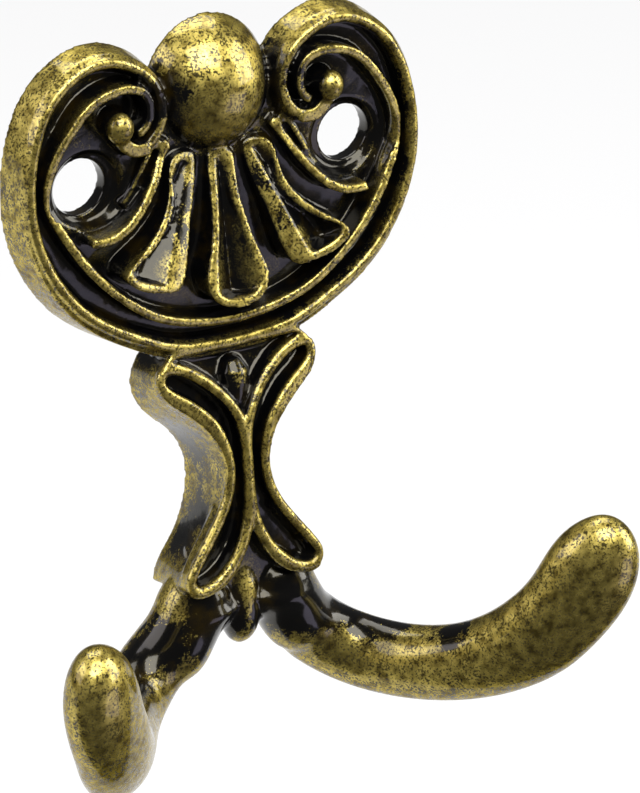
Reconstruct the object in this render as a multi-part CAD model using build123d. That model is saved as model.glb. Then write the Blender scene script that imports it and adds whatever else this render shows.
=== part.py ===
from build123d import *
import math
import os

os.makedirs("parts", exist_ok=True)

# Die-cast double coat hook, one solid piece of zinc alloy with a brass finish.
# A heart-shaped back plate carries a scallop shell, a stem of two scroll leaves and two round prongs.
# The back lies on the wall plane Y = 0, the front faces -Y and Z is up.
# The origin is midway between the two screw holes, on the wall plane. Sizes are in millimetres.

# Back plate, measured to the crest of its rim
plate_half_width = 18.2
plate_top = 10.65
plate_bottom = 14.9
rim_front_mid = 3.8
rim_front_slope = 0.07
rim_lip_radius = 0.42
rim_shoulder_drop = 0.45
rim_wall_out = 0.42
rim_wall_in = 0.6
rim_wall_draft = 0.58
rim_foot_swell = 0.6
field_depth = 1.75

# Screw holes and the dished pocket round each
screw_spacing = 25.2
screw_hole_diameter = 4.8
pocket_diameter = 9.0
pocket_seat_diameter = 5.8
pocket_seat_thickness = 1.5
pocket_height = 2.3
pocket_inset = 0.4

# Ridge that runs inside the rim
ridge_radius = 0.38

# Beads at the heart of the volutes
bead_radius = 1.15
bead_front = 4.2
bead_across = 9.85
bead_up = 5.2

# Egg-shaped dome at the top centre
dome_half_width = 5.85
dome_half_height = 6.15
dome_centre_up = 6.25
dome_sink = 1.2

# Scallop shell flutes
flute_front = 2.6
flute_slope = 0.31
flute_ridge_radius = 0.36
flute_valley_depth = 1.9
flute_valley_half_width = 2.3
flute_valley_lead = 2.4

# Stem: two scroll leaves back to back
stem_top = 14.0
stem_front_top = 4.9
stem_front_waist = 7.1
stem_front_foot = 8.25
leaf_groove_depth = 1.7
bud_radius = 1.25
drop_half_width = 1.85
drop_bottom = 42.1

# Prongs: an oval bar that sweeps out, dips and rises to a rounded end
prong_root_height = 6.3
prong_bend_height = 8.0
prong_root_width = 5.8
prong_bend_width = 5.5


def at(x, front, z):
    """A point given by its distance in front of the wall."""
    return Vector(x, -front, z)


def rim_front(z):
    """Distance of the rim crest from the wall. The plate is thicker towards its foot."""
    return rim_front_mid - rim_front_slope * z


def scaled(points):
    """Plate points given as shares of the half width and of the height above or below the screws."""
    placed = []
    for across, up in points:
        height = plate_top if up > 0 else plate_bottom
        placed.append((across * plate_half_width, up * height))
    return placed


def band(points, outward, inward, foot_swell=0.0):
    """A flat strip along a path given as (x, z), with its own width on each side and more of it at the foot."""
    path = Spline(points)
    steps = 2 * len(points)
    shares = [step / steps for step in range(steps + 1)]
    sides = []
    for reach in (outward, -inward):
        edge = []
        for share in shares:
            spot = path @ share
            along = path % share
            swell = foot_swell * max(0.0, -spot.Y / plate_bottom) if reach > 0 else 0.0
            edge.append((spot.X + along.Y * (reach + swell), spot.Y - along.X * (reach + swell)))
        sides.append(edge)
    outer, inner = sides
    ends = [Line(outer[-1], inner[-1]), Line(inner[0], outer[0])]
    return make_face([Spline(outer), ends[0], Spline(inner), ends[1]])


def wall(points, outward, inward, profile):
    """An upright wall along a path, from the back plane to a front given as (front, z) points."""
    return extrude(Plane.XZ * band(points, outward, inward), amount=12) & depth_block(profile)


def through_centre(points):
    """A path that starts on the centre line, carried on to its mirror image."""
    return [(-x, z) for x, z in reversed(points[1:])] + points


def both_sides(shape):
    """A right-hand shape together with its mirror image."""
    return [shape, mirror(shape, about=Plane.YZ)]


def depth_block(profile):
    """A wide block from the wall to a front given as (front, z) points from the top down."""
    top_z = profile[0][1]
    foot_z = profile[-1][1]
    front = Polyline([(-f, z) for f, z in profile])
    outline = [
        front,
        Line((-profile[-1][0], foot_z), (0, foot_z)),
        Line((0, foot_z), (0, top_z)),
        Line((0, top_z), (-profile[0][0], top_z)),
    ]
    return extrude(Plane.YZ * make_face(outline), amount=60, both=True)


# Crest of the rim: from the foot round the side and over the volute, then curled in to the bead
rim_side = scaled([
    (0.0, -1.0), (0.31, -0.962), (0.506, -0.862), (0.725, -0.695), (0.89, -0.456), (0.978, -0.2),
    (1.0, 0.04), (0.972, 0.395), (0.89, 0.723), (0.747, 0.935), (0.6, 1.0),
    (0.484, 0.95), (0.39, 0.845), (0.33, 0.7),
])
rim_curl = scaled([(0.312, 0.56), (0.33, 0.425), (0.38, 0.32), (0.445, 0.277), (0.51, 0.31), (0.545, 0.4)])


bead_tail = scaled([(0.4, 0.3), (0.45, 0.283), (0.505, 0.325), (0.54, 0.43)])


def make_rim():
    """The rim: an outer wall with draft that ends in a shoulder, and a narrow lip above it."""
    high, low = plate_top + 5, -plate_bottom - 5
    lip_path = through_centre(rim_side + rim_curl)
    lip = wall(lip_path, rim_lip_radius, rim_lip_radius, [(rim_front(z), z) for z in (high, low)])
    wall_path = through_centre(rim_side + rim_curl[:3])
    crest = rim_front(-plate_bottom)
    back = Plane.XZ * band(wall_path, rim_wall_out + rim_wall_draft, rim_wall_in, rim_foot_swell)
    front = Plane.XZ.offset(crest) * band(wall_path, rim_wall_out, rim_wall_in, rim_foot_swell)
    shoulder = depth_block([(rim_front(z) - rim_shoulder_drop, z) for z in (high, low)])
    return (loft([back, front], ruled=True) & shoulder) + lip


def make_field():
    """The floor of the plate, sunk below the rim and bounded by it."""
    right = Spline(rim_side, tangents=[(1, 0), (-0.35, -1)])
    end_x, end_z = rim_side[-1]
    left = mirror(right, about=Plane.YZ)
    across = Line((-end_x, end_z), (end_x, end_z))
    slab = extrude(Plane.XZ * make_face([right, across, left]), amount=12)
    heights = [(rim_front(z) - field_depth, z) for z in (plate_top + 5, -plate_bottom - 5)]
    return slab & depth_block(heights)


# Crest of the inner ridge, from the foot up the side and over into the spiral, and its height at levels
ridge_path = scaled([
    (0.0, -0.859), (0.2, -0.835), (0.399, -0.76), (0.566, -0.62), (0.677, -0.493), (0.796, -0.308),
    (0.864, -0.164), (0.912, -0.02), (0.864, 0.34), (0.795, 0.515), (0.704, 0.685), (0.527, 0.783),
    (0.43, 0.74), (0.388, 0.583), (0.454, 0.405),
])
ridge_profile = [
    (3.8, plate_top + 5), (3.8, 8.3), (3.8, 5.5), (3.6, 3.6), (3.6, -0.3), (4.2, -2.4), (4.6, -4.6),
    (5.0, -8.0), (5.15, -12.0), (5.2, -plate_bottom - 5),
]


def make_ridge():
    """The ridge inside the rim, from the spiral of one volute round the foot to the other."""
    return wall(through_centre(ridge_path), ridge_radius, ridge_radius, ridge_profile)


def make_bead():
    """A round-headed bead on the floor of the volute, with a tail that sweeps round to the end of the lip."""
    outline = [
        Line((0, 0), (bead_radius * 1.1, 0)),
        Line((bead_radius * 1.1, 0), (bead_radius, bead_front - bead_radius)),
        ThreePointArc(
            (bead_radius, bead_front - bead_radius),
            (bead_radius * math.sqrt(0.5), bead_front - bead_radius * (1 - math.sqrt(0.5))),
            (0, bead_front),
        ),
        Line((0, bead_front), (0, 0)),
    ]
    turned = revolve(make_face(outline), axis=Axis.Y)
    tail_front = [(bead_front - 0.4, plate_top), (bead_front - 0.4, 0)]
    tail = wall(bead_tail, 0.65, 0.5, tail_front)
    return Pos(bead_across, 0, bead_up) * (Rot(180, 0, 0) * turned) + tail


def make_dome():
    """Half an egg that lies on the wall plane."""
    arc = EllipticalCenterArc((0, 0), dome_half_width, dome_half_height, start_angle=-90, arc_size=180)
    axis_line = Line((0, dome_half_height), (0, -dome_half_height))
    egg = revolve(Plane.XZ * make_face([arc, axis_line]), axis=Axis.Z)
    return Pos(0, dome_sink, dome_centre_up) * egg


def flute(points):
    """A raised trough of the shell: a ridge round a V-shaped valley. Points are the crest, as (x, z)."""
    middle = points[len(points) // 2]
    root = Vector((points[0][0] + points[-1][0]) / 2, (points[0][1] + points[-1][1]) / 2)
    span = Vector(*middle) - root
    axis = span.normalized()
    across = Vector(-axis.Y, axis.X)

    def on_slope(spot, drop=0.0):
        return at(spot.X, flute_front + flute_slope * (spot - root).dot(axis) - drop, spot.Y)

    def moved_out(point, reach):
        run = min(max((point - root).dot(axis), 0.1 * span.length), 0.78 * span.length)
        keel = root + axis * run
        return point + (point - keel).normalized() * reach

    loop = [Vector(*point) for point in points]
    outside = [on_slope(moved_out(point, flute_ridge_radius)) for point in loop]
    body = extrude(make_face(Edge.make_spline(outside, periodic=True)), amount=3.2, dir=(0, 1, 0))
    mouth = [moved_out(point, -flute_ridge_radius) for point in loop]
    mouth_edge = Edge.make_spline([(spot.X, spot.Y) for spot in mouth], periodic=True)
    shaft = extrude(Plane.XZ * make_face(mouth_edge), amount=12)
    start = root - axis * flute_valley_lead
    end = root + axis * span.length
    reach = across * (flute_valley_half_width * 2)
    corners = [
        on_slope(end, flute_valley_depth),
        on_slope(end + reach, -flute_valley_depth),
        on_slope(end - reach, -flute_valley_depth),
    ]
    valley = loft([Vertex(*on_slope(start)), make_face(Polyline(corners, close=True))], ruled=True)
    return body - (shaft & valley)


# Shell outlines seen from the front, from the root round the outer end and back to the root
middle_flute = scaled([
    (-0.05, 0.06), (-0.053, -0.037), (-0.074, -0.32), (-0.104, -0.463), (-0.14, -0.61), (-0.105, -0.705),
    (0.0, -0.74),
    (0.105, -0.705), (0.14, -0.61), (0.104, -0.463), (0.074, -0.32), (0.053, -0.037), (0.05, 0.06),
])
side_flute = scaled([
    (0.14, 0.08), (0.157, -0.055), (0.215, -0.266), (0.279, -0.52), (0.32, -0.585),
    (0.4, -0.575),
    (0.5, -0.535), (0.566, -0.462), (0.494, -0.39), (0.4, -0.315), (0.279, -0.09), (0.222, 0.112),
])
outer_flute = scaled([
    (0.27, 0.27), (0.313, 0.168), (0.371, 0.0), (0.461, -0.139), (0.557, -0.232), (0.64, -0.262), (0.72, -0.258),
])
outer_flute_profile = [(2.7, 4.0), (2.95, 1.8), (3.8, 0.0), (4.35, -2.1), (5.1, -6.0)]
outer_flute_edge = scaled([(0.31, 0.3), (0.389, 0.162), (0.456, -0.039), (0.512, -0.124)])
outer_edge_profile = [(2.6, 4.0), (2.95, 1.5), (2.8, -3.0)]


def make_shell():
    """Middle flute, two side flutes and two single outer ribs, rising away from the dome."""
    pieces = [flute(middle_flute)]
    pieces += both_sides(flute(side_flute))
    pieces += both_sides(wall(outer_flute, 0.38, 0.38, outer_flute_profile))
    pieces += both_sides(wall(outer_flute_edge, 0.25, 0.25, outer_edge_profile))
    return pieces


# Stem front seen from the side, as (front, z), and the edges of one leaf seen from the front, as (x, z)
stem_side = [
    (stem_front_top, -stem_top), (5.2, -16.9), (6.45, -20.8), (stem_front_waist, -26.0),
    (7.6, -30.5), (8.15, -34.0), (stem_front_foot, -37.5),
]
leaf_outer = [
    (6.9, -16.3), (6.95, -17.2), (6.35, -18.0), (4.85, -19.0), (3.25, -20.4), (2.1, -22.1), (1.4, -24.2),
    (1.35, -25.8), (1.7, -27.6), (2.5, -29.3), (3.85, -31.3), (5.15, -32.9), (5.9, -34.0), (5.9, -34.8),
]
leaf_inner = [
    (6.9, -16.3), (5.25, -16.8), (3.6, -17.9), (2.2, -19.2), (1.15, -20.6), (0.6, -22.0),
    (0.36, -24.3), (0.34, -26.4), (0.42, -28.5), (0.9, -30.6), (2.0, -32.6), (3.8, -34.2), (5.9, -34.8),
]
leaf_edge = 0.72
leaf_back_edge = [
    (6.9, -16.7), (7.4, -18.6), (6.3, -21.3), (4.0, -23.5), (2.6, -25.6), (2.15, -27.8), (2.5, -30.5),
    (3.5, -33.0), (4.9, -35.2), (5.4, -37.0),
]
top_crotch = [(0.0, -21.4), (0.5, -20.1), (1.5, -18.6), (2.95, -17.25), (4.7, -16.1), (7.6, -15.3)]
top_crotch_floor = [(3.4, -stem_top + 2), (3.7, -16.5), (5.0, -20.0), (6.4, -22.5)]
foot_crotch = [(0.0, -30.3), (0.35, -31.5), (1.35, -33.4), (3.15, -35.1), (6.1, -35.9), (9.5, -37.7)]
foot_crotch_floor = [(6.6, -29.0), (5.9, -32.5), (6.2, -36.0), (6.6, -39.0)]


def stem_outline(edge):
    """Both edges of the stem at one depth, joined across the top and under the foot."""
    right = Spline([(2.6, -stem_top - 1)] + edge)
    foot = Spline([edge[-1], (edge[-1][0] * 0.6, edge[-1][1] - 1.2), (0, edge[-1][1] - 1.8)])
    top = Line((-2.6, -stem_top - 1), (2.6, -stem_top - 1))
    mirrored = [mirror(foot, about=Plane.YZ), mirror(right, about=Plane.YZ)]
    return make_face([right, foot] + mirrored + [top])


def crotch(edge, floor):
    """The space between two lobes, in front of a floor given as (front, z) points."""
    far = Line(edge[-1], (0, edge[-1][1]))
    centre = Line((0, edge[-1][1]), edge[0])
    space = extrude(Plane.XZ * make_face([Spline(edge), far, centre]), amount=12) - depth_block(floor)
    return both_sides(space)


def make_stem():
    """Two scroll leaves back to back with a prong out of each, and a drop hung between them."""
    front_edge = [(x + leaf_edge, z) for x, z in leaf_outer]
    back = Plane.XZ * stem_outline(leaf_back_edge)
    front = Plane.XZ.offset(stem_front_foot + 0.2) * stem_outline(front_edge)
    body = loft([back, front], ruled=True) & depth_block(stem_side)
    for prong in both_sides(make_prong()):
        body = body + prong

    crescent = make_face([Spline(leaf_outer), Spline(leaf_inner)])
    sunk = [(front - leaf_groove_depth, z) for front, z in stem_side]
    groove = extrude(Plane.XZ * crescent, amount=12) - depth_block(sunk)
    body = body - both_sides(groove)
    for space in crotch(top_crotch, top_crotch_floor) + crotch(foot_crotch, foot_crotch_floor):
        body = body - space
    return body + make_drop() + make_bud()


def make_bud():
    """A pointed bud between the upper lobes of the leaves."""
    half = [Spline([(0, -16.5), (1.15, -17.9), (0.75, -19.8), (0, -21.6)]), Line((0, -21.6), (0, -16.5))]
    return Pos(0, -4.3, 0) * revolve(Plane.XZ * make_face(half), axis=Axis.Z)


def make_drop():
    """A drop that hangs between the roots of the prongs."""
    half = [
        Spline([(0, -33.0), (1.2, -35.5), (drop_half_width, -39.3), (1.3, -41.1), (0, -drop_bottom)]),
        Line((0, -drop_bottom), (0, -33.0)),
    ]
    return Pos(0, -5.2, 0) * revolve(Plane.XZ * make_face(half), axis=Axis.Z)


# Middle line of the right prong, as (x, front, z), and its height and width at shares of its length
prong_line = [
    (2.3, 5.2, -33.9), (3.5, 4.9, -36.6), (6.05, 4.6, -41.2), (10.35, 5.3, -44.7), (13.65, 9.2, -45.5),
    (17.15, 14.5, -44.35), (20.35, 19.45, -40.95), (22.95, 22.4, -36.0), (24.4, 23.7, -29.3),
]
prong_sections = [
    (0.0, 0.95, 0.0), (0.12, 1.0, 0.0), (0.3, 1.0, 0.1), (0.45, 1.0, 0.3), (0.6, 1.0, 0.65), (0.73, 1.0, 1.0),
    (0.84, 1.0, 1.05), (0.91, 0.96, 0.95), (0.955, 0.79, 0.8), (0.985, 0.5, 0.6),
]


def make_prong():
    """The right-hand prong, lofted through ovals and closed with a rounded end."""
    line = Edge.make_spline([at(x, front, z) for x, front, z in prong_line])
    plane_normal = (line @ 1 - line @ 0).cross(line @ 0.5 - line @ 0).normalized()
    ovals = []
    for share, roundness, swell in prong_sections:
        tangent = line % share
        sideways = plane_normal - tangent * plane_normal.dot(tangent)
        frame = Plane(origin=line @ share, x_dir=sideways, z_dir=tangent)
        height = prong_root_height + (prong_bend_height - prong_root_height) * swell
        width = prong_root_width + (prong_bend_width - prong_root_width) * swell
        ovals.append(frame * Ellipse(width / 2 * roundness, height / 2 * roundness))
    return loft([oval.face() for oval in ovals] + [Vertex(*(line @ 1))])


def cut_screw_seats(body):
    """Through holes for the screws, each in a dished pocket."""
    dish = Cone(pocket_seat_diameter / 2, pocket_diameter / 2, pocket_height)
    hole = Cylinder(screw_hole_diameter / 2, 12)
    turn = Rot(90, 0, 0)
    for side in (-1, 1):
        centre = screw_spacing / 2
        dish_place = Pos(side * (centre - pocket_inset), -pocket_seat_thickness - pocket_height / 2, 0)
        body = body - dish_place * turn * dish
        body = body - Pos(side * centre, 0, 0) * turn * hole
    return body


def make_hook():
    """The whole casting, fused from the floor of the plate outwards."""
    plate = cut_screw_seats(make_field() + make_ridge() + make_rim())
    for piece in make_shell() + both_sides(make_bead()) + [make_dome()]:
        plate = plate + piece
    wall_side = Pos(0, 20, 0) * Box(200, 40, 200)
    return plate + make_stem() - wall_side


if __name__ == "__main__":
    coat_hook = make_hook()
    export_step(coat_hook, "parts/coat_hook.step")
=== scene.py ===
import math

import bmesh
import bpy
import numpy as np
from mathutils import Matrix, Vector
from mathutils.kdtree import KDTree


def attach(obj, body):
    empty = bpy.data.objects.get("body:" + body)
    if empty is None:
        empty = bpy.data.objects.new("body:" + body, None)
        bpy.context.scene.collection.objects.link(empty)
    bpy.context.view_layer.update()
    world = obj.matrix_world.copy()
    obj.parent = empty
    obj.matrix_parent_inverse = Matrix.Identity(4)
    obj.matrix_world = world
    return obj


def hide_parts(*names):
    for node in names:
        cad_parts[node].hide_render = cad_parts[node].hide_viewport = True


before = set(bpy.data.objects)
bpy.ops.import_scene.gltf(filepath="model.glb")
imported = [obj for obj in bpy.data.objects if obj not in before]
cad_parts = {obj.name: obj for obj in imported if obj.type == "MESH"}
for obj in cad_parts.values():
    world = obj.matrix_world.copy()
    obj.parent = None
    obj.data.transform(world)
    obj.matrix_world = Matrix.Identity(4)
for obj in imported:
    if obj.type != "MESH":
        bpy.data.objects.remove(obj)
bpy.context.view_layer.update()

MM = 0.001

# Skin drawn over the whole casting, and how much of its mesh is kept
skin_voxel = 0.18 * MM
smoothing_factor = 0.5
skin_smoothing = 4
skin_share_kept = 0.39

# Front of the stem by height, as (front, z)
stem_fronts = [
    (4.9, -14.0), (5.2, -16.9), (6.45, -20.8), (7.1, -26.0), (7.6, -30.5), (8.15, -34.0), (8.25, -37.5),
]

# Round crests of the leaves, as (x, z) on the right-hand side
leaf_crest_radius = 0.46
inner_crest_end_radius = 0.62
crest_sink = 0.3
outer_leaf_crest = [
    (6.95, -16.2), (7.25, -17.2), (6.6, -18.1), (5.1, -19.15), (3.5, -20.55), (2.4, -22.2), (1.75, -24.3),
    (1.7, -25.8), (2.05, -27.5), (2.85, -29.2), (4.2, -31.1), (5.5, -32.8), (6.2, -34.0), (6.1, -34.9),
]
inner_leaf_crest = [
    (7.0, -16.1), (5.2, -16.45), (3.4, -17.6), (1.9, -19.0), (0.75, -20.6), (0.2, -22.2), (0.0, -24.0),
    (0.0, -26.5), (0.1, -28.6), (0.55, -30.7), (1.7, -32.9), (3.6, -34.7), (5.2, -35.2), (6.1, -34.9),
]

# Rods that back the thin wall of each lower lobe: inset from its crest and depth behind the stem's front
lobe_backings = [(0.4, 1.1), (0.45, 1.7)]
lobe_crest = outer_leaf_crest[9:]

# Round crest of the rim, as (x, z) on the right-hand side, on a front that leans out towards the bottom
rim_crest_radius = 0.36
rim_front = 3.8
rim_lean = 0.07
rim_crest = [
    (0.0, -14.9), (5.64, -14.33), (9.2, -12.84), (13.2, -10.35), (16.2, -6.8), (17.8, -2.98), (18.2, 0.43),
    (17.69, 4.2), (16.2, 7.7), (13.6, 9.96), (10.92, 10.65), (8.81, 10.12), (7.1, 9.0), (6.0, 7.46),
]

# Ball at the heart of each volute: x, front, z and its half sizes
volute_ball = (9.95, 3.6, 5.2)
volute_ball_half = (1.2, 1.1, 1.35)

# Bud in the crotch of the leaves: half width by height, the front of its axis at its middle, and its lean
bud_profile = [(0.0, -16.3), (0.85, -16.75), (1.38, -17.8), (1.2, -19.0), (0.7, -20.4), (0.0, -22.0)]
bud_middle = -18
bud_front = 4.3
bud_lean = 0.28

# Root with which the right-hand prong runs up under its leaf: x, front, z, half sizes and lean
prong_root = (5.0, 4.65, -39.4)
prong_root_half = (3.2, 2.95, 5.1)
prong_root_lean = math.radians(28.5)

# Smoothed where each prong runs out of its leaf: heights, reach from the middle, and fading edge
root_heights = (-45.5, -36.9)
root_reach = (1.0, 9.5)
root_fade = 0.6
root_smoothing = 130

# Relief is measured against surroundings of this many rounds of averaging, and softened by a few more
relief_rounds = 18
relief_softening = 3
own_share = 0.4

# What the rubbing depends on, in millimetres, and how much each counts for. The sum is a reach, and it
# turns from lacquer to brass between the last two values
near_openness_distance = 2.5
near_openness_weight = 2.0
wide_openness_distance = 16.0
wide_openness_weight = 2.6
relief_weight = 6.5
grain_size = 0.22
grain_weight = 1.7
blotch_size = 1.1
blotch_weight = 1.9
patch_size = 3.2
patch_weight = 1.9
reach_start = -4.1
reach_of_lacquer = 2.15
reach_of_brass = 2.4

# Pools that hold the rubbing off, on both sides: x, front, z, radius and how far each holds it off. Some are
# lacquer left in recesses, as in the crotch, the drop, the bud, the shell and the screw seats; the others
# are painted shade where the hook turns away from the lamps, as on the sides of the dome, under the lower
# lobe and on the top and back of the prongs.
# A negative x is a pool on the left side alone. A pool holds in full within half its radius and fades out
# at its edge, which is given in radii
lacquer_and_painted_shade_pools = [
    ("prong root", 4.6, 7.2, -39.4, 3.4, 1.5),
    ("drop", 0.0, 7.0, -39.6, 2.0, 0.9),
    ("bud", 0.0, 4.5, -18.5, 2.6, 1.6),
    ("under the lower lobe", 3.0, 6.8, -37.8, 2.2, 1.5),
    ("waist of the stem", 3.4, 3.4, -28.2, 2.4, 0.6),
    ("side of the dome", 6.5, 4.6, 6.2, 2.6, 1.8),
    ("foot of the dome", 0.0, 6.0, 0.3, 2.6, 0.8),
    ("shell", 4.0, 3.2, -3.6, 5.5, 1.3),
    ("lower side of the stem", 5.5, 2.6, -31.5, 3.4, 1.7),
    ("upper side of the stem", 4.6, 2.5, -25.0, 3.2, 1.4),
    ("upper lobe", 7.2, 1.5, -18.6, 2.4, 0.7),
    ("screw seat", 12.6, 0.8, 0.2, 3.4, 2.5),
    ("top of the prong by its root", 10.0, 5.5, -40.2, 2.8, 1.6),
    ("top of the prong at its bend", 12.5, 9.0, -41.4, 2.5, 1.6),
    ("top of the prong past its bend", 15.0, 15.0, -41.0, 2.4, 1.4),
    ("front of the prong", 8.5, 9.0, -42.6, 1.6, 1.2),
    ("back of the prong", 7.0, 3.0, -43.0, 3.0, 0.7),
    ("left of the dome", -5.2, 5.4, 8.4, 2.6, 1.9),
]
pool_edge = 1.5

# Photograph's view, solved from the mirrored halves of the hook, with its turn and rise in degrees
view_turn = -32.0
view_rise = 22.4
view_distance = 473.0 * MM
look_at = Vector((11.28, 0.0, -24.0)) * MM
pixels_per_mm = 11.8
image_height = 793
film_height = 36.0
nearest_seen = 10 * MM

# Studio: the card's half size, how far back its middle lies, and how much of it is plain white to the camera
card_half = 1000.0 * MM
card_back = 985.0 * MM
card_level = -110.0 * MM
card_white_share = 0.8
room_light = 0.08
lamp_target = Vector((0, -8, -20)) * MM
lamp_distance = 450 * MM

# Lamps: turn and rise in degrees, width and height in millimetres, power in watts and colour
lamps = [
    ("key_front", -8, 50, (420, 300), 2.9, "#FFFFFF"),
    ("side_right", 62, 18, (260, 360), 1.6, "#FFFFFF"),
    ("side_left", -104, 30, (360, 300), 1.1, "#F2F0FF"),
    ("top_back", -20, 112, (420, 260), 1.4, "#FFFFFF"),
    ("low_right", 42, -24, (260, 200), 0.26, "#DCD8FF"),
]


def srgb(code):
    """Linear colour of an sRGB hex value such as #B39B44."""
    channels = [int(code[place:place + 2], 16) / 255 for place in (1, 3, 5)]
    linear = [c / 12.92 if c <= 0.04045 else ((c + 0.055) / 1.055) ** 2.4 for c in channels]
    return (*linear, 1.0)


def add(tree, kind, settings=None, **links):
    """Adds a node, sets its properties and plain inputs, and links what is given as a socket."""
    node = tree.nodes.new(kind)
    for name, value in (settings or {}).items():
        setattr(node, name, value)
    for name, value in links.items():
        key = int(name[2:]) if name.startswith("in") and name[2:].isdigit() else name.replace("_", " ")
        if isinstance(value, bpy.types.NodeSocket):
            tree.links.new(value, node.inputs[key])
        else:
            node.inputs[key].default_value = value
    return node


def merged_copy(node_name, piece_name):
    """A welded copy of a CAD node as a new object."""
    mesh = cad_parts[node_name].data.copy()
    mesh.materials.clear()
    shape = bmesh.new()
    shape.from_mesh(mesh)
    bmesh.ops.remove_doubles(shape, verts=shape.verts, dist=1e-6)
    shape.to_mesh(mesh)
    shape.free()
    mesh.name = piece_name
    piece = bpy.data.objects.new(piece_name, mesh)
    bpy.context.collection.objects.link(piece)
    return piece


def at(x, front, z):
    """A point given in millimetres by its distance in front of the wall."""
    return Vector((x, -front, z)) * MM


def stem_front(z):
    """Front of the stem at a height."""
    heights = [height for _, height in reversed(stem_fronts)]
    fronts = [front for front, _ in reversed(stem_fronts)]
    return float(np.interp(z, heights, fronts))


def smooth_path(points, steps=5):
    """Points along a smooth curve through the given ones."""
    ends = [points[0] * 2 - points[1]] + points + [points[-1] * 2 - points[-2]]
    path = []
    for before, start, end, after in zip(ends, ends[1:], ends[2:], ends[3:]):
        for step in range(steps):
            t = step / steps
            bend = (end - before) * t + (before * 2 - start * 5 + end * 4 - after) * t ** 2
            path.append(start + (bend + (start * 3 - before - end * 3 + after) * t ** 3) / 2)
    return path + [points[-1]]


def add_rod(shape, points, radius, end_radius, sides=10):
    """A closed round rod along points, added to a mesh, that grows or shrinks towards its end."""
    path = smooth_path(points)
    last = len(path) - 1
    rims = []
    for index, spot in enumerate(path):
        along = (path[min(index + 1, last)] - path[max(index - 1, 0)]).normalized()
        across = along.cross(Vector((0, 1, 0))).normalized()
        turn = Matrix((across, along.cross(across), along)).transposed().to_4x4()
        size = (radius + (end_radius - radius) * index / last) * MM
        ring = bmesh.ops.create_circle(
            shape, cap_ends=False, segments=sides, radius=size, matrix=Matrix.Translation(spot) @ turn
        )["verts"]
        rims.append(list({edge for vert in ring for edge in vert.link_edges}))
    for rim, following in zip(rims, rims[1:]):
        bmesh.ops.bridge_loops(shape, edges=rim + following)
    for end in (rims[0], rims[-1]):
        bmesh.ops.edgeloop_fill(shape, edges=end)


def add_leaf_crests(shape, side):
    """Round crests along both edges of a leaf, with the backing of its lower lobe."""
    crests = [(outer_leaf_crest, leaf_crest_radius), (inner_leaf_crest, inner_crest_end_radius)]
    for crest, end_radius in crests:
        points = [at(side * x, stem_front(z) - crest_sink, z) for x, z in crest]
        add_rod(shape, points, leaf_crest_radius, end_radius)
    for inset, depth in lobe_backings:
        points = [at(side * (x - inset), stem_front(z) - depth, z) for x, z in lobe_crest]
        add_rod(shape, points, leaf_crest_radius, leaf_crest_radius)


def add_rim_crest(shape, side):
    """A round crest along one half of the rim."""
    points = [at(side * x, rim_front - rim_lean * z - rim_crest_radius / 2, z) for x, z in rim_crest]
    add_rod(shape, points, rim_crest_radius, rim_crest_radius)


def add_volute_ball(shape, side):
    """The ball in which a volute ends."""
    x, front, z = volute_ball
    half_sizes = Matrix.Diagonal((*[half * MM for half in volute_ball_half], 1.0))
    place = Matrix.Translation(at(side * x, front, z)) @ half_sizes
    bmesh.ops.create_icosphere(shape, subdivisions=4, radius=1.0, matrix=place)


def add_bud(shape):
    """A pointed bud that leans forward with the stem."""
    profile = [at(across, bud_front - bud_lean * (z - bud_middle), z) for across, z in bud_profile]
    verts = [shape.verts.new(spot) for spot in profile]
    edges = [shape.edges.new(pair) for pair in zip(verts, verts[1:])]
    hub = at(0, bud_front, bud_middle)
    axis = Vector((0, bud_lean, 1)).normalized()
    bmesh.ops.spin(
        shape, geom=verts + edges, cent=hub, axis=axis, angle=2 * math.pi, steps=20, use_merge=True
    )


def add_prong_root(shape, side):
    """The blunt rounded end with which a prong runs up under its leaf."""
    x, front, z = prong_root
    half_sizes = Matrix.Diagonal((*[half * MM for half in prong_root_half], 1.0))
    lean = Matrix.Rotation(-side * prong_root_lean, 4, "Y")
    ball = bmesh.ops.create_icosphere(shape, subdivisions=4, radius=1.0)["verts"]
    for vert in ball:
        fullness = math.sqrt((1 - vert.co.z ** 4) / max(1 - vert.co.z ** 2, 1e-6))
        vert.co = Vector((vert.co.x * fullness, vert.co.y * fullness, vert.co.z))
    place = Matrix.Translation(at(side * x, front, z)) @ lean @ half_sizes
    bmesh.ops.transform(shape, matrix=place, verts=ball)


def add_raised_work(piece):
    """Joins the crests, volute balls, bud and prong roots to the casting, before its skin is drawn."""
    shape = bmesh.new()
    for side in (-1, 1):
        add_leaf_crests(shape, side)
        add_rim_crest(shape, side)
        add_volute_ball(shape, side)
    add_bud(shape)
    for side in (-1, 1):
        add_prong_root(shape, side)
    bmesh.ops.recalc_face_normals(shape, faces=shape.faces)
    shape.from_mesh(piece.data)
    shape.to_mesh(piece.data)
    shape.free()


def apply_modifiers(piece):
    """Replaces the piece's mesh by what its modifiers make of it."""
    bpy.context.view_layer.update()
    depsgraph = bpy.context.evaluated_depsgraph_get()
    mesh = bpy.data.meshes.new_from_object(piece.evaluated_get(depsgraph))
    piece.modifiers.clear()
    piece.data = mesh
    mesh.shade_smooth()


def draw_skin(piece):
    """Gives the casting one even skin and softens every edge, as a mould does."""
    remesh = piece.modifiers.new("skin", "REMESH")
    remesh.mode = "VOXEL"
    remesh.voxel_size = skin_voxel
    soften = piece.modifiers.new("soften", "SMOOTH")
    soften.factor = smoothing_factor
    soften.iterations = skin_smoothing
    apply_modifiers(piece)


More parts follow.
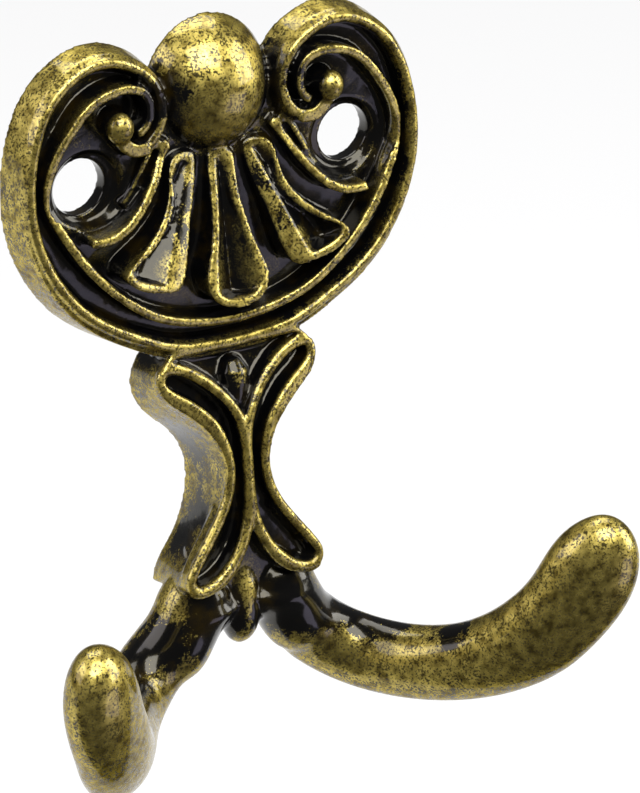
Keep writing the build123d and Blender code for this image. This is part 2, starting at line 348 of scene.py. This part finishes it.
def blend_roots(piece):
    """Smooths the skin where each prong runs out of its leaf."""
    roots = piece.vertex_groups.new(name="roots")
    low, high = root_heights
    near, far = root_reach
    for vertex in piece.data.vertices:
        x, _, z = vertex.co / MM
        inside = min(z - low, high - z, abs(x) - near, far - abs(x))
        if inside > 0:
            roots.add([vertex.index], min(inside / root_fade, 1.0), "REPLACE")
    blend = piece.modifiers.new("blend the roots", "SMOOTH")
    blend.factor = smoothing_factor
    blend.iterations = root_smoothing
    blend.vertex_group = "roots"
    apply_modifiers(piece)
    piece.vertex_groups.clear()


def spread(values, edges, counts, rounds):
    """Averages a value per vertex with its neighbours, over and over."""
    ends = np.concatenate([edges[:, 0], edges[:, 1]])
    others = np.concatenate([edges[:, 1], edges[:, 0]])
    for _ in range(rounds):
        total = [np.bincount(ends, weights=column[others], minlength=len(column)) for column in values.T]
        values = own_share * values + (1 - own_share) * np.stack(total, axis=1) / counts
    return values


def relief_of(mesh):
    """Vertex places, and how far each stands above (+) or below (-) its surroundings, in millimetres."""
    count = len(mesh.vertices)
    place = np.empty(count * 3)
    mesh.vertices.foreach_get("co", place)
    place = place.reshape(-1, 3) / MM
    normal = np.empty(count * 3)
    mesh.vertices.foreach_get("normal", normal)
    normal = normal.reshape(-1, 3)
    edges = np.empty(len(mesh.edges) * 2, dtype=np.int64)
    mesh.edges.foreach_get("vertices", edges)
    edges = edges.reshape(-1, 2)
    counts = np.maximum(np.bincount(edges.ravel(), minlength=count), 1)[:, None]
    average = spread(place, edges, counts, relief_rounds)
    height = np.einsum("ij,ij->i", place - average, normal)[:, None]
    return place, spread(height, edges, counts, relief_softening)[:, 0]


def pooled_lacquer_and_painted_shade(place):
    """How far pooled lacquer and painted shade hold the rubbing off, for places in millimetres."""
    amount = np.zeros(len(place))
    for _, x, front, z, radius, depth in lacquer_and_painted_shade_pools:
        across = place[:, 0] if x < 0 else np.abs(place[:, 0])
        apart = np.sqrt((across - x) ** 2 + (place[:, 1] + front) ** 2 + (place[:, 2] - z) ** 2)
        amount += depth * np.clip(pool_edge - apart / radius, 0.0, 1.0)
    return amount


def thin_out(piece):
    """Keeps fewer triangles where the surface is flat, and carries the relief, lowered by the pools of
    lacquer and painted shade, over to those left.
    """
    place, relief = relief_of(piece.data)
    # The pools lower the relief: lacquer left in recesses, and painted shade on sides turned away from the
    # lamps.
    relief -= pooled_lacquer_and_painted_shade(place) / relief_weight
    tree = KDTree(len(place))
    for index, spot in enumerate(place * MM):
        tree.insert(spot, index)
    tree.balance()
    fewer = piece.modifiers.new("fewer", "DECIMATE")
    fewer.ratio = skin_share_kept
    apply_modifiers(piece)
    mesh = piece.data
    layer = mesh.attributes.new("relief", "FLOAT", "POINT")
    values = [relief[tree.find(vertex.co)[1]] for vertex in mesh.vertices]
    layer.data.foreach_set("value", np.array(values, dtype=np.float32))


def add_rubbing(tree, place, patch):
    """Where the lacquer is rubbed away: 1 where it is open and proud, 0 in recesses and in painted shade,
    ragged between.
    """
    # The attribute holds the relief lowered by the pools, so it carries painted shade as well as the lacquer
    # in recesses.
    relief = add(tree, "ShaderNodeAttribute", {"attribute_name": "relief"})
    local = {"samples": 4, "only_local": True}
    near = add(tree, "ShaderNodeAmbientOcclusion", local, Distance=near_openness_distance * MM)
    wide = add(tree, "ShaderNodeAmbientOcclusion", local, Distance=wide_openness_distance * MM)
    grain = add(
        tree, "ShaderNodeTexNoise", Vector=place, Scale=1 / (grain_size * MM), Detail=3.0, Roughness=0.6
    )
    blotch = add(
        tree, "ShaderNodeTexNoise", Vector=place, Scale=1 / (blotch_size * MM), Detail=3.0, Roughness=0.55
    )
    reach = reach_start
    for source, weight in (
        (near.outputs["AO"], near_openness_weight),
        (wide.outputs["AO"], wide_openness_weight),
        (relief.outputs["Fac"], relief_weight),
        (grain.outputs["Fac"], grain_weight),
        (blotch.outputs["Fac"], blotch_weight),
        (patch.outputs["Fac"], patch_weight),
    ):
        term = add(tree, "ShaderNodeMath", {"operation": "MULTIPLY_ADD"}, in0=source, in1=weight, in2=reach)
        reach = term.outputs[0]
    rubbed = add(
        tree, "ShaderNodeMapRange", {"interpolation_type": "SMOOTHSTEP"},
        Value=reach, From_Min=reach_of_lacquer, From_Max=reach_of_brass,
    )
    return rubbed.outputs[0]


def add_flecks(tree, place):
    """How clear the brass is of lacquer left in its pores, as flecks of 0.2 mm that crowd in some places."""
    pores = add(tree, "ShaderNodeTexNoise", Vector=place, Scale=1 / (0.2 * MM), Detail=2.0, Roughness=0.5)
    crowding = add(tree, "ShaderNodeTexNoise", Vector=place, Scale=1 / (1.6 * MM), Detail=2.0, Roughness=0.6)
    fleck = add(
        tree, "ShaderNodeMath", {"operation": "MULTIPLY_ADD"},
        in0=crowding.outputs["Fac"], in1=0.35, in2=pores.outputs["Fac"],
    )
    clear = add(
        tree, "ShaderNodeMapRange",
        Value=fleck.outputs[0], From_Min=0.69, From_Max=0.77, To_Min=1.0, To_Max=0.1,
    )
    return clear.outputs[0]


def antique_brass():
    """Brass plate on a zinc casting, dipped in black lacquer and rubbed back on all that stands proud.
    Rubbed brass gives a warm, slightly rough gleam under a clear coat. The lacquer left is a wet black, and
    in places the black is painted shade, on sides turned away from the lamps."""
    finish = bpy.data.materials.new("antique_brass_rubbed")
    finish.use_nodes = True
    tree = finish.node_tree
    tree.nodes.clear()
    place = add(tree, "ShaderNodeTexCoord").outputs["Object"]
    patch = add(
        tree, "ShaderNodeTexNoise", Vector=place, Scale=1 / (patch_size * MM), Detail=4.0, Roughness=0.6
    )
    tarnish = add(tree, "ShaderNodeTexNoise", Vector=place, Scale=1 / (0.9 * MM), Detail=4.0, Roughness=0.65)
    ripple = add(tree, "ShaderNodeTexNoise", Vector=place, Scale=1 / (0.6 * MM), Detail=3.0, Roughness=0.6)
    rubbed = add_rubbing(tree, place, patch)
    clear = add_flecks(tree, place)
    bare = add(tree, "ShaderNodeMath", {"operation": "MULTIPLY"}, in0=rubbed, in1=clear).outputs[0]

    brass = add(tree, "ShaderNodeValToRGB", Fac=tarnish.outputs["Fac"])
    lacquer = add(tree, "ShaderNodeValToRGB", Fac=patch.outputs["Fac"])
    for ramp, stops in (
        (brass, ((0.35, "#75652A"), (0.62, "#D9C466"))),
        (lacquer, ((0.5, "#070708"), (0.72, "#241B04"))),
    ):
        for element, (position, code) in zip(ramp.color_ramp.elements, stops):
            element.position = position
            element.color = srgb(code)
    colour = add(tree, "ShaderNodeMix", {"data_type": "RGBA"}, Factor=bare)
    tree.links.new(lacquer.outputs["Color"], colour.inputs[6])
    tree.links.new(brass.outputs["Color"], colour.inputs[7])
    rough = add(tree, "ShaderNodeMapRange", Value=bare, To_Min=0.17, To_Max=0.4)
    bump = add(tree, "ShaderNodeBump", Strength=0.3, Distance=0.05 * MM, Height=ripple.outputs["Fac"])
    surface = add(
        tree, "ShaderNodeBsdfPrincipled",
        Base_Color=colour.outputs[2], Metallic=bare, Roughness=rough.outputs[0], Normal=bump.outputs[0],
        Coat_Weight=0.5, Coat_Roughness=0.08, Specular_Tint=srgb("#A89C74"),
    )
    add(tree, "ShaderNodeOutputMaterial", Surface=surface.outputs[0])
    return finish


def make_casting():
    """The whole hook: one casting with its raised work, skin and finish."""
    piece = merged_copy("coat_hook", "hook_casting")
    add_raised_work(piece)
    draw_skin(piece)
    blend_roots(piece)
    thin_out(piece)
    piece.data.materials.append(antique_brass())
    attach(piece, "root")
    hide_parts("coat_hook")


def white_card():
    """Matt white card that the camera, metal and gloss see as plain white, and that still takes a shadow."""
    card = bpy.data.materials.new("white_card")
    card.use_nodes = True
    tree = card.node_tree
    tree.nodes.clear()
    ray = add(tree, "ShaderNodeLightPath")
    seen = ray.outputs["Is Camera Ray"]
    for kind in ("Is Glossy Ray", "Is Transmission Ray"):
        either_ray = add(tree, "ShaderNodeMath", {"operation": "MAXIMUM"}, in0=seen, in1=ray.outputs[kind])
        seen = either_ray.outputs[0]
    share = add(tree, "ShaderNodeMath", {"operation": "MULTIPLY"}, in0=seen, in1=card_white_share)
    lit = add(tree, "ShaderNodeBsdfDiffuse", Color=srgb("#F6F6F6"))
    white = add(tree, "ShaderNodeEmission", Color=srgb("#FFFFFF"), Strength=1.0)
    both = add(tree, "ShaderNodeMixShader", in0=share.outputs[0], in1=lit.outputs[0], in2=white.outputs[0])
    add(tree, "ShaderNodeOutputMaterial", Surface=both.outputs[0])
    return card


def make_floor():
    """A white card that lies well below the hook and reaches away behind it."""
    shape = bmesh.new()
    bmesh.ops.create_grid(shape, x_segments=1, y_segments=1, size=card_half)
    bmesh.ops.translate(shape, verts=shape.verts, vec=(0, card_back, card_level))
    mesh = bpy.data.meshes.new("floor")
    shape.to_mesh(mesh)
    shape.free()
    mesh.materials.append(white_card())
    floor = bpy.data.objects.new("floor", mesh)
    bpy.context.collection.objects.link(floor)


def make_surroundings():
    """A dim grey room, so that the black lacquer stays black."""
    world = bpy.data.worlds.new("studio")
    bpy.context.scene.world = world
    world.use_nodes = True
    tree = world.node_tree
    tree.nodes.clear()
    room = add(tree, "ShaderNodeBackground", Color=srgb("#FFFFFF"), Strength=room_light)
    add(tree, "ShaderNodeOutputWorld", Surface=room.outputs[0])


def direction(turn, rise):
    """Direction from the hook for a turn to the right of its front and a rise, both in degrees."""
    turn = math.radians(turn)
    rise = math.radians(rise)
    return Vector((math.sin(turn) * math.cos(rise), -math.cos(turn) * math.cos(rise), math.sin(rise)))


def make_lamp(name, turn, rise, size, power, tint):
    """A softbox aimed at the hook."""
    light = bpy.data.lights.new(name, "AREA")
    light.shape = "RECTANGLE"
    light.size = size[0] * MM
    light.size_y = size[1] * MM
    light.energy = power
    light.color = srgb(tint)[:3]
    lamp = bpy.data.objects.new(name, light)
    towards = direction(turn, rise)
    lamp.location = lamp_target + towards * lamp_distance
    lamp.rotation_euler = (-towards).to_track_quat("-Z", "Y").to_euler()
    bpy.context.collection.objects.link(lamp)


def make_camera():
    """The photograph's viewpoint: a long lens to the left of the hook and above it."""
    towards = direction(view_turn, view_rise)
    lens = bpy.data.cameras.new("camera")
    lens.sensor_fit = "VERTICAL"
    lens.sensor_height = film_height
    lens.lens = film_height * pixels_per_mm * (view_distance / MM) / image_height
    lens.clip_start = nearest_seen
    camera = bpy.data.objects.new("camera", lens)
    camera.location = look_at + towards * view_distance
    camera.rotation_euler = (-towards).to_track_quat("-Z", "Y").to_euler()
    bpy.context.collection.objects.link(camera)
    bpy.context.scene.camera = camera


make_casting()
make_floor()
make_surroundings()
for lamp_values in lamps:
    make_lamp(*lamp_values)
make_camera()

bpy.context.scene.view_settings.view_transform = "Standard"
